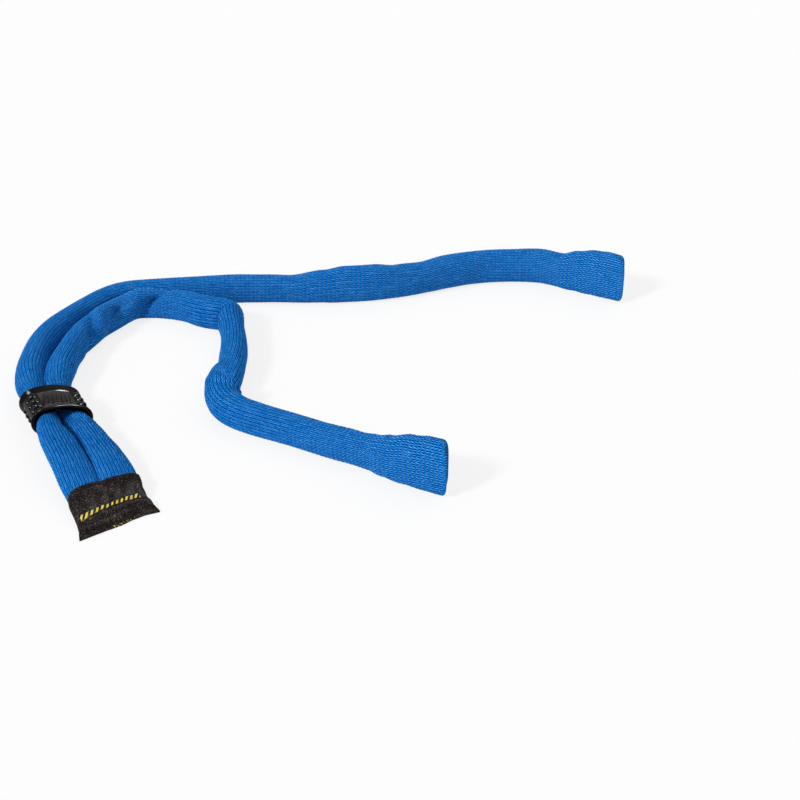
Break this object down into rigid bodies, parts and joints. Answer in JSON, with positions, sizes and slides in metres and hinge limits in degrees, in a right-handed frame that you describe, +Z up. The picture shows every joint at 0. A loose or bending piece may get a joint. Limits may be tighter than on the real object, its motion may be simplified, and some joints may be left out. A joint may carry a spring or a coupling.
{
  "type": "eyeglass retainer strap",
  "caption": "Knitted tubular eyewear retainer: two flared temple sleeves, a moulded slider that cinches both tubes, and a folded woven end tag.",
  "frame": {"origin": "bottom centre of the bounding box, on the surface that the strap lies on", "axes": "+X along the two temple sleeves and out of their mouths, +Y towards the wearer's left sleeve, +Z up"},
  "size_m": [0.1598, 0.201, 0.017],
  "materials": {
    "knit_cotton": "cotton stockinette knit, soft and slightly fuzzy",
    "moulded_rubber": "moulded, satin to glossy on the beads and ribs",
    "woven_label": "satin weave with a slight sheen",
    "sewing_thread": "twisted polyester thread"
  },
  "bodies": {
    "strap": {"right_strap": "knit_cotton", "left_strap": "knit_cotton", "tag": "woven_label", "tag_stitching": "sewing_thread"},
    "slider": {"cord_slider": "moulded_rubber"}
  },
  "joints": [
    {"name": "slider_slide", "type": "slide", "parent": "strap", "child": "slider", "axis": [0.8211, -0.5707, 0], "range_m": [-0.003, 0.0286]}
  ]
}
